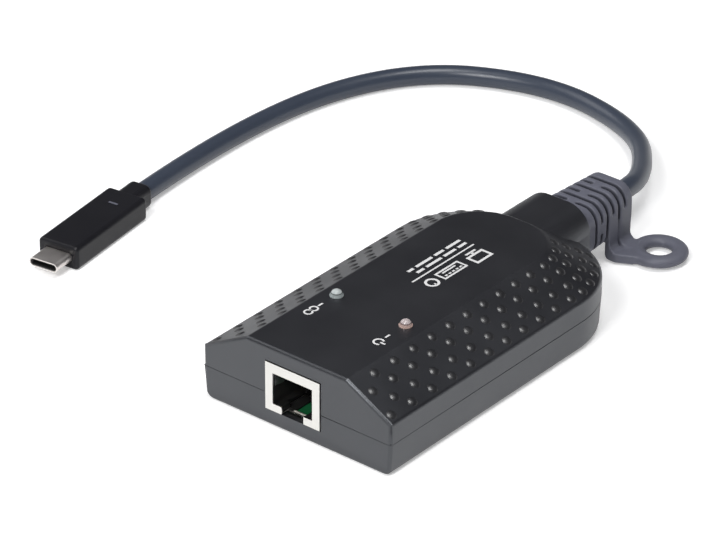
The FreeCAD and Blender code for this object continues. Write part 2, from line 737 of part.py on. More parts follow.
def tab_profile(y):
    """Bent strip across Y: down in line with the relief's side, then out towards the eye."""
    side = relief_side(y)
    r_in = TAB_BEND_R
    top, low, inner = EYE_Z + EYE_T, EYE_Z, side - TAB_T
    q_in = r_in * math.sqrt(0.5)
    cx, cz = side + r_in, top + r_in
    foot = min(TAB_T, EYE_T)
    return Part.Wire([
        line((inner, y, TAB_TOP), (side, y, TAB_TOP)),
        line((side, y, TAB_TOP), (side, y, cz)),
        arc((side, y, cz), (cx - q_in, y, cz - q_in), (cx, y, top)),
        line((cx, y, top), (EYE_X, y, top)),
        line((EYE_X, y, top), (EYE_X, y, low)),
        line((EYE_X, y, low), (inner + foot, y, low)),
        arc((inner + foot, y, low),
            (inner + foot * (1 - math.sqrt(0.5)), y, low + foot * (1 - math.sqrt(0.5))),
            (inner, y, low + foot)),
        line((inner, y, low + foot), (inner, y, TAB_TOP)),
    ])


def hanging_eye():
    """Tab, arm and eye, with a low rim round the hole."""
    y0, y1 = RELIEF_START + TAB_FRONT, RELIEF_START + TAB_REAR
    plan = flat_face((0, y0, 0), (relief_side(y0) + TAB_BEND_R, y0, 0),
                     (EYE_X, EYE_Y - EYE_R + EYE_EDGE_R, 0), (EYE_X, y1, 0), (0, y1, 0))
    strip = Part.makeLoft([tab_profile(y0), tab_profile(y1)], True, True)
    strip = strip.common(plan.extrude(V(0, 0, HEIGHT)))
    disc = post(EYE_X, EYE_Y, EYE_Z, EYE_Z + EYE_T, EYE_R)
    disc = disc.makeFillet(EYE_EDGE_R, edges_where(disc, lambda b: b.ZMax - b.ZMin < NEAR))
    rim = post(EYE_X, EYE_Y, EYE_Z, EYE_Z + EYE_T + EYE_RIM_H, EYE_RIM_R)
    rim = rim.makeFillet(0.5 * EYE_RIM_H, edges_where(rim, lambda b: b.ZMin > EYE_Z + EYE_T))
    body = strip.fuse(disc).fuse(rim).cut(post(EYE_X, EYE_Y, -1, HEIGHT, EYE_HOLE_R))
    slot_y = RELIEF_START + SLOT_FIRST + TAB_SLOT * SLOT_PITCH
    slot = box(relief_side(slot_y) - TAB_SLOT_D, EYE_X - EYE_RIM_R, slot_y - SLOT_W / 2, slot_y + SLOT_W / 2,
               EYE_Z + EYE_T - TAB_SLOT_D, TAB_TOP + 1)
    return body.cut(slot)


def strain_relief():
    body = relief_body()
    for k in range(SLOTS):
        body = body.cut(relief_slot(k))
    throat = rounded_bar(NECK_END - WALL - SEAT, RELIEF_START, THROAT_HALF_W, THROAT_HALF_H, THROAT_R)
    flange_end = NECK_END - WALL - SEAT
    flange = rounded_bar(flange_end - FLANGE_T, flange_end, NECK_HALF_W - WALL - SEAT,
                         NECK_HALF_H - WALL - SEAT, NECK_R - WALL - SEAT)
    body = body.fuse(throat).fuse(flange).fuse(hanging_eye())
    cord_room = tube(CORD_POINTS, CORD_D + 2 * CORD_FIT)[0]
    core_room = Part.makeCylinder(CORE_BORE_R, CORD_POINTS[0][1] - flange_end + FLANGE_T + 1,
                                  V(0, flange_end - FLANGE_T - 1, AXIS_Z), V(0, 1, 0))
    return body.cut(cord_room).cut(core_room).removeSplitter()


# %% USB-C plug, laid out along Y from the overmould's front face
def lay_plug(shape):
    placed = shape.copy()
    placed.rotate(V(0, 0, 0), V(0, 0, 1), PLUG_YAW)
    placed.translate(V(PLUG_AT[0], PLUG_AT[1], 0))
    return placed


PLUG_Z = PLUG_H / 2


def plug_pocket():
    """Room inside the overmould for the board and the buried end of the tip."""
    w, l, h = PLUG_BOARD
    tip = rounded_bar(-1, TIP_BURIED, TIP_W / 2, TIP_H / 2, TIP_R, 0, PLUG_Z)
    board = box(-w / 2 - SEAT, w / 2 + SEAT, TIP_BURIED, TIP_BURIED + l + SEAT,
                PLUG_Z - h / 2 - SEAT, PLUG_Z + h / 2 + SEAT)
    return tip.fuse(board)


def plug_overmould():
    body = rounded_bar(0, PLUG_L, PLUG_W / 2, PLUG_H / 2, PLUG_R, 0, PLUG_Z)
    ends = edges_where(body, lambda b: b.YMax < NEAR or b.YMin > PLUG_L - NEAR)
    body = body.makeFillet(PLUG_END_R, ends)
    half = PLUG_NECK_W / 2
    neck = rounded_bar(PLUG_L - 1, PLUG_L + PLUG_NECK_L, half, PLUG_NECK_H / 2, PLUG_NECK_R, 0, PLUG_Z)
    neck = neck.makeFillet(PLUG_END_R, edges_where(neck, lambda b: b.YMin > PLUG_L + 1))
    body = lay_plug(body.fuse(neck).cut(plug_pocket()))
    return body.cut(tube(CORD_POINTS, CORD_D + 2 * CORD_FIT)[0]).removeSplitter()


def tip_shell():
    outer = rounded_bar(-TIP_L, TIP_BURIED, TIP_W / 2, TIP_H / 2, TIP_R, 0, PLUG_Z)
    inner = rounded_bar(-TIP_L - 1, TIP_BURIED + 1, TIP_W / 2 - TIP_T, TIP_H / 2 - TIP_T,
                        TIP_R - TIP_T, 0, PLUG_Z)
    return lay_plug(outer.cut(inner))


def tip_insert():
    t, front = TIP_T + TIP_ROOM, TIP_SET_BACK - TIP_L
    body = rounded_bar(front, TIP_BURIED, TIP_W / 2 - t, TIP_H / 2 - t, TIP_R - t, 0, PLUG_Z)
    slot = box(-TIP_SLOT_W / 2, TIP_SLOT_W / 2, front - 1, front + TIP_SLOT_L,
               PLUG_Z - TIP_SLOT_H / 2, PLUG_Z + TIP_SLOT_H / 2)
    return lay_plug(body.cut(slot))


def tip_contacts():
    """Two facing rows of contact strips inside the tip's slot."""
    w, l, h = TIP_CONTACT
    y = TIP_SET_BACK - TIP_L + TIP_SLOT_L - l
    strips = []
    for k in range(TIP_CONTACTS):
        x = (k - (TIP_CONTACTS - 1) / 2) * TIP_CONTACT_PITCH
        low = PLUG_Z - TIP_SLOT_H / 2
        high = PLUG_Z + TIP_SLOT_H / 2 - h
        strips += [box(x - w / 2, x + w / 2, y, y + l, z, z + h) for z in (low, high)]
    return lay_plug(Part.makeCompound(strips))


def plug_board():
    w, l, h = PLUG_BOARD
    return lay_plug(box(-w / 2, w / 2, TIP_BURIED, TIP_BURIED + l, PLUG_Z - h / 2, PLUG_Z + h / 2))


# %% all pieces
def pieces():
    cord, path, radii = tube(CORD_POINTS, CORD_D)
    ideal = math.pi * CORD_D ** 2 / 4 * path.Length
    print("cord length %.1f, bend radii" % path.Length, ["%.1f" % r for r in radii])
    print("cord volume %.1f, section times length %.1f" % (cord.Volume, ideal))
    return {
        "upper_cover": upper_cover(),
        "lower_tray": lower_tray(),
        "housing_screws": housing_screws(),
        "circuit_board": circuit_board(),
        "jack_shield": jack_shield(),
        "jack_insulator": jack_insulator(),
        "jack_contacts": jack_contacts(),
        "link_lamp": lamp(LAMP_AT[0]),
        "power_lamp": lamp(LAMP_AT[1]),
        "lamp_leads": lamp_leads(),
        "network_transformer": block(TRANSFORMER, (JACK_X, TRANSFORMER_Y), JACK_Z),
        "main_chip": block(MAIN_CHIP, (MAIN_CHIP_X, CHIP_Y), JACK_Z),
        "network_chip": block(NETWORK_CHIP, (NETWORK_CHIP_X, CHIP_Y), JACK_Z),
        "memory_chip": block(MEMORY_CHIP, (MEMORY_CHIP_X, CHIP_Y), JACK_Z),
        "crystal_can": crystal_can(),
        "capacitors": capacitors(),
        "cord_header": cord_header(),
        "header_plug": header_plug(),
        "core_wires": core_wires(),
        "strain_relief": strain_relief(),
        "cord": cord,
        "plug_overmould": plug_overmould(),
        "plug_tip": tip_shell(),
        "plug_insert": tip_insert(),
        "plug_contacts": tip_contacts(),
        "plug_board": plug_board(),
    }


os.makedirs("parts", exist_ok=True)
for name, shape in pieces().items():
    placed = shape.copy()
    placed.translate(MIDDLE)
    placed.exportStep("parts/%s.step" % name)
    b = placed.BoundBox
    print("%-20s solids %d  valid %s  volume %9.1f  x %.1f..%.1f  y %.1f..%.1f  z %.2f..%.2f" % (
        name, len(placed.Solids), placed.isValid(), placed.Volume,
        b.XMin, b.XMax, b.YMin, b.YMax, b.ZMin, b.ZMax))
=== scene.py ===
# %% [markdown]
# # A small network console adapter
#
# The object is a black plastic housing with a wedge-shaped top, a network jack in its front,
# two small lamps, a grooved strain relief with a hanging eye, and a short cord that ends in
# a USB-C plug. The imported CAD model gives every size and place. This file dresses it: it
# makes the soft edges, the grip studs, the print and the finishes that a camera sees.
#
# Sizes are written in millimetres, as on a drawing. Blender works in metres, so one helper
# turns each point into metres in the frame.

# %% Load the frame
import math

import bmesh
import bpy
from mathutils import Matrix, Vector


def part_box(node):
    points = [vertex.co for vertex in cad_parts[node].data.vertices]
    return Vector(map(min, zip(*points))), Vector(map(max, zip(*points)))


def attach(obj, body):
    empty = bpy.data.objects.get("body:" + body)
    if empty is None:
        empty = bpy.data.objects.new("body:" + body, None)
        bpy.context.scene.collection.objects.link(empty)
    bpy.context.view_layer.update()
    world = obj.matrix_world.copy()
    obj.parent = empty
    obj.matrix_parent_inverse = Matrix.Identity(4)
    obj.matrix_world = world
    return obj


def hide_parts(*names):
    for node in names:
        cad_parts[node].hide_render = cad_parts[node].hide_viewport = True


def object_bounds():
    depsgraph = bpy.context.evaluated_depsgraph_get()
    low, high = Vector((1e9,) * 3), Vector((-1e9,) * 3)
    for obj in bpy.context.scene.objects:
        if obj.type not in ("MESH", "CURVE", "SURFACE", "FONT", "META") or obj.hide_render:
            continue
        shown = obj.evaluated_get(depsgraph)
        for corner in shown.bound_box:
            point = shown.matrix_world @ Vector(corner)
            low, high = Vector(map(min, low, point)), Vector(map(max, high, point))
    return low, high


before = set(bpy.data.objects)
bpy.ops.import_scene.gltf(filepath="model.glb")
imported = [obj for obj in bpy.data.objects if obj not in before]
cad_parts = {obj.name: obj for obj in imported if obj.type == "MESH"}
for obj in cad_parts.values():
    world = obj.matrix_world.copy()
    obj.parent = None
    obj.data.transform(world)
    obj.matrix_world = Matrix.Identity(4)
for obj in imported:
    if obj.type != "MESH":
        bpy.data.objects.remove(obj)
cad_low, cad_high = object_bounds()
MM = 0.001
FRONT_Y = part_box("lower_tray")[0][1]      # front face of the housing, m
print("front face at y %.2f mm" % (FRONT_Y / MM))


def at(x, y, z):
    """A point in millimetres from the housing's front face, as metres in the frame."""
    return Vector((x * MM, FRONT_Y + y * MM, z * MM))


def place_object(name, data):
    """New object in the scene that shows the given data."""
    item = bpy.data.objects.new(name, data)
    bpy.context.scene.collection.objects.link(item)
    return item


# %% [markdown]
# ## The camera
# The object is seen through a long lens from the front right and above, so parallel edges
# stay nearly parallel. A camera can be aimed with a Track To constraint, but that leaves no
# say over its roll. Here it is set by the three directions it needs: right, up and back.
# They come from two viewing angles and a slight roll.

# %% Camera
VIEW_AZIMUTH = math.radians(39.3)
VIEW_ELEVATION = math.radians(29.96)
VIEW_ROLL = math.radians(0.2)
VIEW_DISTANCE = 1035.45       # back from the middle of the housing's lower front edge
VIEW_RIGHT = 14.225           # right of it, in the picture
VIEW_UP = 38.223              # above it, in the picture
SENSOR_WIDTH = 36.0
FOCAL_LENGTH = 226.61
NEAREST_SEEN = 50.0


def view_axes():
    """Right, up and back of the camera."""
    sin_a, cos_a = math.sin(VIEW_AZIMUTH), math.cos(VIEW_AZIMUTH)
    sin_e, cos_e = math.sin(VIEW_ELEVATION), math.cos(VIEW_ELEVATION)
    back = Vector((sin_a * cos_e, -cos_a * cos_e, sin_e))
    right = Vector((cos_a, sin_a, 0))
    up = back.cross(right)
    turn = Matrix.Rotation(VIEW_ROLL, 3, back)
    return turn @ right, turn @ up, back


def make_camera():
    right, up, back = view_axes()
    place = right * VIEW_RIGHT + up * VIEW_UP + back * VIEW_DISTANCE
    data = bpy.data.cameras.new("camera")
    data.sensor_width = SENSOR_WIDTH
    data.lens = FOCAL_LENGTH
    data.clip_start = NEAREST_SEEN * MM
    camera = place_object("camera", data)
    axes = Matrix((right, up, back)).transposed()
    camera.matrix_world = Matrix.Translation(at(*place)) @ axes.to_4x4()
    bpy.context.scene.camera = camera
    print("camera at", [round(value, 3) for value in camera.matrix_world.translation], "m")


make_camera()

# %% [markdown]
# ## The cord
# A cord is one length of something flexible. A row of straight tubes and bends would show its
# joints, so it is one smooth spline instead. The control points are chosen along its
# route: straight out of the strain relief, down to the table, round in one wide bow, and
# into the plug. The curve's own bevel gives it its thickness.

# %% Cord
CORD_D = 5.2
CORD_ROUND_STEPS = 8          # steps round a quarter of the section
CORD_LONG_STEPS = 24          # steps along each stretch of the spline
CORD_POINTS = (
    (0.0, 107.0, 11.0),
    (0.0, 124.0, 11.0),
    (-4.3, 140.4, 7.6),
    (-23.4, 164.7, 3.4),
    (-58.2, 172.7, 2.65),
    (-93.3, 153.9, 2.65),
    (-105.9, 104.8, 2.65),
    (-99.9, 55.1, 3.1),
)


def make_cord():
    data = bpy.data.curves.new("cord_jacket", "CURVE")
    data.dimensions = "3D"
    data.bevel_depth = CORD_D / 2 * MM
    data.bevel_resolution = CORD_ROUND_STEPS
    data.use_fill_caps = True
    spline = data.splines.new("NURBS")
    spline.points.add(len(CORD_POINTS) - 1)
    for point, place in zip(spline.points, CORD_POINTS):
        point.co = (*at(*place), 1)
    spline.order_u = 3
    spline.use_endpoint_u = True
    spline.resolution_u = CORD_LONG_STEPS
    return place_object("cord_jacket", data)


cord = make_cord()
print("cord drawn through", len(CORD_POINTS), "points")

# %% [markdown]
# ## A surface for everything moulded
# Most of the object is moulded plastic. Real mouldings aren't one flat colour: a fine
# spark-eroded grain breaks up the gloss, and handling leaves faint uneven patches. An image
# could carry both, but it would have to be fitted to each piece. Noise on Object coordinates
# needs no fitting and keeps its scale everywhere. Several finishes use the two effects, so
# they are one node group that gives out a height for the bump and a soft mask for the rest.

# %% Node helpers
def link(tree, source, target):
    tree.links.new(source, target)


def add_node(tree, kind, values=None, **settings):
    """New node with its settings, then the values of its inputs by title or number."""
    node = tree.nodes.new(kind)
    for setting, choice in settings.items():
        setattr(node, setting, choice)
    for socket, value in (values or {}).items():
        node.inputs[socket].default_value = value
    return node


def calc(tree, operation, *terms):
    """One step of arithmetic on sockets or plain numbers."""
    node = add_node(tree, "ShaderNodeMath", operation=operation)
    for socket, term in zip(node.inputs, terms):
        if isinstance(term, (int, float)):
            socket.default_value = term
        else:
            link(tree, term, socket)
    return node.outputs[0]


def point_axes(tree, kind="Object"):
    """The shaded point's X, Y and Z."""
    place = add_node(tree, "ShaderNodeTexCoord")
    parts = add_node(tree, "ShaderNodeSeparateXYZ")
    link(tree, place.outputs[kind], parts.inputs["Vector"])
    return parts.outputs


def colour_bands(tree, source, bands):
    """Colours along a value, through pairs of a position and a colour."""
    ramp = add_node(tree, "ShaderNodeValToRGB")
    stops = ramp.color_ramp.elements
    for stop, (position, colour) in zip(stops, (bands[0], bands[-1])):
        stop.position = position
        stop.color = (*colour, 1)
    for position, colour in bands[1:-1]:
        stops.new(position).color = (*colour, 1)
    link(tree, source, ramp.inputs["Fac"])
    return ramp.outputs["Color"]


# %% The shared group
PLAIN_GRAIN, PLAIN_PATCHES = 4000.0, 60.0       # noise waves to a metre
NOISES = (("Grain", 2.0, "Height"), ("Patches", 3.0, "Mottle"))     # size, detail, result


def new_group(name, inputs, outputs):
    """Shader node group with float inputs and outputs, and its two end nodes."""
    tree = bpy.data.node_groups.new(name, "ShaderNodeTree")
    for title, value in inputs.items():
        socket = tree.interface.new_socket(title, in_out="INPUT", socket_type="NodeSocketFloat")
        socket.default_value = value
    for title in outputs:
        tree.interface.new_socket(title, in_out="OUTPUT", socket_type="NodeSocketFloat")
    return tree, add_node(tree, "NodeGroupInput"), add_node(tree, "NodeGroupOutput")


def moulded_surface():
    sizes = {"Grain": PLAIN_GRAIN, "Patches": PLAIN_PATCHES}
    tree, given, result = new_group("moulded_surface", sizes, [noise[-1] for noise in NOISES])
    place = add_node(tree, "ShaderNodeTexCoord")
    for size, detail, title in NOISES:
        noise = add_node(tree, "ShaderNodeTexNoise", {"Detail": detail})
        link(tree, place.outputs["Object"], noise.inputs["Vector"])
        link(tree, given.outputs[size], noise.inputs["Scale"])
        link(tree, noise.outputs["Fac"], result.inputs[title])
    return tree


surface_group = moulded_surface()
print("shared group:", [item.name for item in surface_group.interface.items_tree])

# %% Plastic and metal
MASK_LOW, MASK_HIGH = 0.3, 0.7          # the noise hardly leaves this range


def shader_of(material):
    return material.node_tree.nodes["Principled BSDF"]


def new_material(name):
    material = bpy.data.materials.new(name)
    material.use_nodes = True
    return material, material.node_tree, shader_of(material)


def add_surface(tree, grain, patches):
    values = {"Grain": grain, "Patches": patches}
    return add_node(tree, "ShaderNodeGroup", values, node_tree=surface_group)


def spread(tree, mask, low, high):
    """Map a noise mask to a range."""
    values = {"From Min": MASK_LOW, "From Max": MASK_HIGH, "To Min": low, "To Max": high}
    node = add_node(tree, "ShaderNodeMapRange", values)
    link(tree, mask, node.inputs["Value"])
    return node.outputs["Result"]


def blend_colours(tree, mask, dark, light):
    tones = {"A": (*dark, 1), "B": (*light, 1)}
    node = add_node(tree, "ShaderNodeMix", tones, data_type="RGBA")
    link(tree, mask, node.inputs["Factor"])
    return node.outputs["Result"]


def moulded(name, dark, light, rough, grain=PLAIN_GRAIN, depth=0.004, patches=PLAIN_PATCHES,
            specular=0.5, ior=1.5):
    """Moulded plastic or rubber: two close tones, uneven gloss and a fine grain."""
    material, tree, shader = new_material(name)
    surface = add_surface(tree, grain, patches)
    mottle = surface.outputs["Mottle"]
    bump = add_node(tree, "ShaderNodeBump", {"Distance": depth * MM})
    link(tree, blend_colours(tree, mottle, dark, light), shader.inputs["Base Color"])
    link(tree, spread(tree, mottle, *rough), shader.inputs["Roughness"])
    link(tree, surface.outputs["Height"], bump.inputs["Height"])
    link(tree, bump.outputs["Normal"], shader.inputs["Normal"])
    shader.inputs["Specular IOR Level"].default_value = specular
    shader.inputs["IOR"].default_value = ior
    return material


def metal(name, dark, light, rough):
    """Bare metal with a faint uneven sheen."""
    material = moulded(name, dark, light, rough, grain=1500.0, depth=0.002, patches=200.0)
    shader_of(material).inputs["Metallic"].default_value = 1.0
    return material


# %% [markdown]
# ## Finishes of the outside
# The housing is hard black plastic with a satin gloss, a little cool in its reflections. The
# studs come from the same mould and shine slightly more at their tops. The strain relief and
# the cord's jacket are blue-grey rubber, and the jacket is the glossier of the two. The plug
# is black and duller. Each finish is one call with two close tones and a range of roughness,
# because that is enough to tell such plastics apart.

# %% Plastics and rubber
COOL_GLOSS = (0.9, 0.94, 1, 1)
finishes = {
    "housing": moulded("housing_plastic", (0.005, 0.0050, 0.0068), (0.009, 0.0088, 0.0115),
                       (0.36, 0.44), specular=0.9, ior=1.6),
    "stud": moulded("stud_plastic", (0.006, 0.006, 0.008), (0.010, 0.010, 0.012),
                    (0.34, 0.42), specular=0.9, ior=1.6),
    "relief": moulded("relief_rubber", (0.116, 0.120, 0.152), (0.136, 0.140, 0.174),
                      (0.40, 0.48), specular=0.3),
    "cord": moulded("cord_rubber", (0.038, 0.048, 0.072), (0.048, 0.060, 0.086),
                    (0.30, 0.38), specular=0.55),
    "plug": moulded("plug_plastic", (0.007, 0.007, 0.0095), (0.011, 0.011, 0.0145),
                    (0.36, 0.46), specular=0.3),
    "inner_black": moulded("jack_plastic", (0.008, 0.008, 0.008), (0.014, 0.014, 0.014),
                           (0.4, 0.5)),
    "nylon": moulded("natural_nylon", (0.62, 0.60, 0.54), (0.72, 0.70, 0.64), (0.4, 0.5)),
    "print": moulded("print_ink", (0.72, 0.72, 0.72), (0.80, 0.80, 0.80), (0.45, 0.55),
                     depth=0.001),
}
shader_of(finishes["housing"]).inputs["Specular Tint"].default_value = COOL_GLOSS
print("plastics:", len(finishes))

# %% Metals, board and insulation
finishes.update({
    "shield": metal("tinned_shield", (0.73, 0.72, 0.68), (0.82, 0.81, 0.78), (0.28, 0.38)),
    "tip": metal("satin_steel", (0.74, 0.70, 0.67), (0.84, 0.80, 0.77), (0.36, 0.44)),
    "gold": metal("contact_gold", (0.78, 0.55, 0.2), (0.9, 0.68, 0.3), (0.2, 0.3)),
    "steel": metal("screw_steel", (0.3, 0.3, 0.31), (0.4, 0.4, 0.41), (0.3, 0.4)),
    "can": metal("aluminium_can", (0.6, 0.6, 0.62), (0.72, 0.72, 0.74), (0.3, 0.4)),
    "board": moulded("green_board", (0.008, 0.10, 0.035), (0.012, 0.14, 0.05), (0.25, 0.35)),
    "core": moulded("core_insulation", (0.30, 0.05, 0.04), (0.38, 0.07, 0.06), (0.35, 0.45)),
})
print("with metals, board and insulation:", len(finishes))

# %% [markdown]
# ## Resin of the lamps
# Each lamp is a drop of resin over a small cup. A glass shader could show the cup through the
# dome, but over black plastic, and only two millimetres high, it renders dark. So bands of
# colour by height give the look that light through the resin would give: a coloured foot, a
# darker band of painted shade at the rim of the cup, and a pale dome that is partly the resin's
# own colour and partly a painted reflection. One lamp is nearly clear, and the other has a warm
# tint.

# %% Lamps
LENS_FOOT, LENS_TOP = 21.05, 22.75      # heights between which a lamp shows
FOOT_END, RIM_SHADE_AT, DOME_START = 0.40, 0.53, 0.66     # shares of that height
RESIN_NOISE = {"grain": 300.0, "patches": 900.0}
RESIN_ROUGH = (0.08, 0.14)


def lamp_resin(name, foot, rim, dome):
    material, tree, shader = new_material(name)
    surface = add_surface(tree, **RESIN_NOISE)
    rough = spread(tree, surface.outputs["Mottle"], *RESIN_ROUGH)
    height = add_node(tree, "ShaderNodeMapRange",
                      {"From Min": LENS_FOOT * MM, "From Max": LENS_TOP * MM})
    link(tree, point_axes(tree)["Z"], height.inputs["Value"])
    # Painted light: the dark middle band is painted shade at the cup's rim, and the pale dome
    # above it is partly a painted reflection.
    bands = ((FOOT_END, foot), (RIM_SHADE_AT, rim), (DOME_START, dome))
    colour = colour_bands(tree, height.outputs["Result"], bands)
    link(tree, rough, shader.inputs["Roughness"])
    link(tree, colour, shader.inputs["Base Color"])
    return material


finishes["lamp_clear"] = lamp_resin("clear_resin", (0.36, 0.40, 0.40), (0.06, 0.07, 0.07),
                                    (0.46, 0.50, 0.50))
finishes["lamp_warm"] = lamp_resin("tinted_resin", (0.52, 0.38, 0.34), (0.13, 0.08, 0.08),
                                   (0.46, 0.40, 0.40))
print("finishes:", ", ".join(sorted(finishes)))

# %% [markdown]
# ## Dark slots in the strain relief
# Down in the slots the rubber is painted darker: painted shade, where little light gets in.
# Painting it with an image would need a map. The relief's section is a rounded rectangle that
# narrows towards the cord, so a formula can say how deep a point lies under that outline, and
# the depth darkens the colour.

# %% Shade by depth
RELIEF_START = 98.9                     # where the relief leaves the housing's neck
RELIEF_HALF_W, RELIEF_HALF_H = 8.3, 6.5
RELIEF_NARROWS = 1.6 / 21.5             # half width lost over each millimetre
RELIEF_AXIS_Z = 11.0
RELIEF_SQUARENESS = 4.0                 # 2 would be an ellipse
SLOT_FLOOR, SLOT_EDGE = 0.66, 0.92      # measure of depth: 0 at the axis, 1 at the outline
SLOT_SHADE = 0.5


# Painted shade: the rubber's colour is multiplied darker the deeper a point lies in a slot.
def paint_slot_shade(material):
    tree, shader = material.node_tree, shader_of(material)
    axes = point_axes(tree)
    along = calc(tree, "SUBTRACT", axes["Y"], FRONT_Y + RELIEF_START * MM)
    half_w = calc(tree, "MULTIPLY_ADD", along, -RELIEF_NARROWS, RELIEF_HALF_W * MM)
    height = calc(tree, "SUBTRACT", axes["Z"], RELIEF_AXIS_Z * MM)
    terms = []
    for offset, half in ((axes["X"], half_w), (height, RELIEF_HALF_H * MM)):
        share = calc(tree, "ABSOLUTE", calc(tree, "DIVIDE", offset, half))
        terms.append(calc(tree, "POWER", share, RELIEF_SQUARENESS))
    shade_by_depth = add_node(tree, "ShaderNodeMapRange",
                    {"From Min": SLOT_FLOOR, "From Max": SLOT_EDGE, "To Min": SLOT_SHADE})
    shaded_colour = add_node(tree, "ShaderNodeMix", {"Factor": 1.0}, data_type="RGBA",
                    blend_type="MULTIPLY")
    plain = shader.inputs["Base Color"].links[0].from_socket
    link(tree, calc(tree, "ADD", *terms), shade_by_depth.inputs["Value"])
    link(tree, plain, shaded_colour.inputs["A"])
    link(tree, shade_by_depth.outputs["Result"], shaded_colour.inputs["B"])
    link(tree, shaded_colour.outputs["Result"], shader.inputs["Base Color"])
    print(material.name, "has", len(tree.nodes), "nodes")


paint_slot_shade(finishes["relief"])

# %% [markdown]
# ## Where the grip studs sit
# Four staggered rows of low round studs run down each shoulder and round the rear corners.
# Along the straight part the steps close up a little towards the rear. A grid could be
# projected on the slopes, but its rows wouldn't follow the corners. Each row runs at a fixed
# share of the slope instead. The places are worked out first, because both the housing and
# the studs need them.

# %% Outline of the slopes
HALF_W, BODY_L, CORNER_R, SHOULDER_Z = 28.0, 94.4, 22.5, 13.9
ROOF_HALF_W, ROOF_L, ROOF_CORNER_R, ROOF_Z = 14.75, 83.4, 12.8, 21.05


def rim_point(turn, half_w, length, corner, z):
    """Point on a rounded rear corner."""
    return Vector((half_w - corner + corner * math.cos(turn),
                   length - corner + corner * math.sin(turn), z))


# %% Places of the studs
STUD_SHARES = (0.16, 0.385, 0.64, 0.853)        # how far down the slope each row runs
STUD_FIRST_Y = (7.9, 3.6, 7.1, 2.5)
STUD_STEP = (7.14, 7.3, 7.3, 7.52)              # first step of each row
STUD_CLOSING = 0.176                            # each step is this much shorter
STUD_FIRST_TURN = (2.0, 9.4, 2.0, 7.4)          # degrees round the corner
STUD_TURN_STEP = (16.2, 14.2, 13.3, 12.0)
STUD_LAST_TURN = 57.0


def right_shoulder():
    """Place of each stud on the right shoulder, and a vector square to the slope there."""
    marks = []
    straight_end = min(BODY_L - CORNER_R, ROOF_L - ROOF_CORNER_R)
    rows = zip(STUD_SHARES, STUD_FIRST_Y, STUD_STEP, STUD_FIRST_TURN, STUD_TURN_STEP)
    for share, y, step, turn, turn_step in rows:
        while y < straight_end:
            high = Vector((ROOF_HALF_W, y, ROOF_Z))
            low = Vector((HALF_W, y, SHOULDER_Z))
            marks.append((high.lerp(low, share), (low - high).cross(Vector((0, 1, 0)))))
            y += step
            step -= STUD_CLOSING
        while turn < STUD_LAST_TURN:
            a = math.radians(turn)
            high = rim_point(a, ROOF_HALF_W, ROOF_L, ROOF_CORNER_R, ROOF_Z)
            low = rim_point(a, HALF_W, BODY_L, CORNER_R, SHOULDER_Z)
            along = Vector((-math.sin(a), math.cos(a), 0))
            marks.append((high.lerp(low, share), (low - high).cross(along)))
            turn += turn_step
    return marks


def both_shoulders():
    """Each stud's place in the frame, with the way its slope faces as a unit vector."""
    marks = []
    for side in (-1, 1):
        for place, lean in right_shoulder():
            facing = lean if lean.z > 0 else -lean
            facing = Vector((side * facing.x, facing.y, facing.z)).normalized()
            marks.append((at(side * place.x, place.y, place.z), facing))
    return marks


stud_places = both_shoulders()
print("grip studs:", len(stud_places))

# %% [markdown]
# ## Carrying the CAD pieces over
# The CAD model arrives as loose triangles, which shade as flat facets. Modelling each piece
# again would risk its size. A copy with its corners merged keeps the size, and can be shaded
# smooth where the surface is round and sharp where it isn't. That copy stands for the CAD
# node, which stays as it was for the physics.


def new_piece(name, mesh, finish):
    piece = place_object(name, mesh)
    mesh.materials.clear()
    mesh.materials.append(finishes[finish])
    return piece


def shade(mesh, angle):
    """Shade smooth, with edges sharp above an angle in degrees."""
    for face in mesh.polygons:
        face.use_smooth = True
    mesh.set_sharp_from_angle(angle=math.radians(angle))


def baked(piece):
    """Turn the piece's modifiers into plain mesh."""
    seen = piece.evaluated_get(bpy.context.evaluated_depsgraph_get())
    mesh = bpy.data.meshes.new_from_object(seen)
    piece.modifiers.clear()
    piece.data = mesh
    return mesh


# %% [markdown]
# The cover needs three changes. Its plain studs are pressed flat, because finer ones take
# their place. Its flat faces are made whole, so that light runs evenly over them. The edge
# between its slopes and its upright walls gets the small round that moulding leaves.

# %% The cover
STUD_REACH = 1.0
STUD_LEAST, STUD_TALLEST = 0.1, 0.8     # heights of the points that are pressed flat
FLAT_ANGLE = 0.3                        # degrees between faces that count as one flat
SHOULDER_ROUND = 0.7
SHOULDER_STEPS = 4
LEVEL = 0.01                            # how close a point has to be to a height


def level_studs(form):
    for foot, facing in stud_places:
        for vert in form.verts:
            away = vert.co - foot
            height = away.dot(facing)
            if not STUD_LEAST * MM < height < STUD_TALLEST * MM:
                continue
            if (away - facing * height).length < STUD_REACH * MM:
                vert.co -= facing * height


def whole_flats(form):
    bmesh.ops.dissolve_limit(form, angle_limit=math.radians(FLAT_ANGLE),
                             verts=form.verts, edges=form.edges)


def round_shoulder(form):
    edges = [edge for edge in form.edges
             if all(abs(vert.co.z - SHOULDER_Z * MM) < LEVEL * MM for vert in edge.verts)]
    bmesh.ops.bevel(form, geom=edges, offset=SHOULDER_ROUND * MM, segments=SHOULDER_STEPS,
                    profile=0.5, affect="EDGES")


# %% [markdown]
# The two halves of the housing meet at a groove. On the real object it shows as a hairline,
# so the floor of the groove comes out until only a fine line is left.

# %% The parting line
GROOVE_LOW, GROOVE_HIGH, GROOVE_D = 8.42, 8.64, 0.3
GROOVE_FILL = 0.21
ON_FLOOR = 0.02               # how close a point has to be to the groove's floor


def on_floor(depth):
    """Whether a point this deep in the wall lies on the groove's floor."""
    return abs(depth - GROOVE_D) < ON_FLOOR


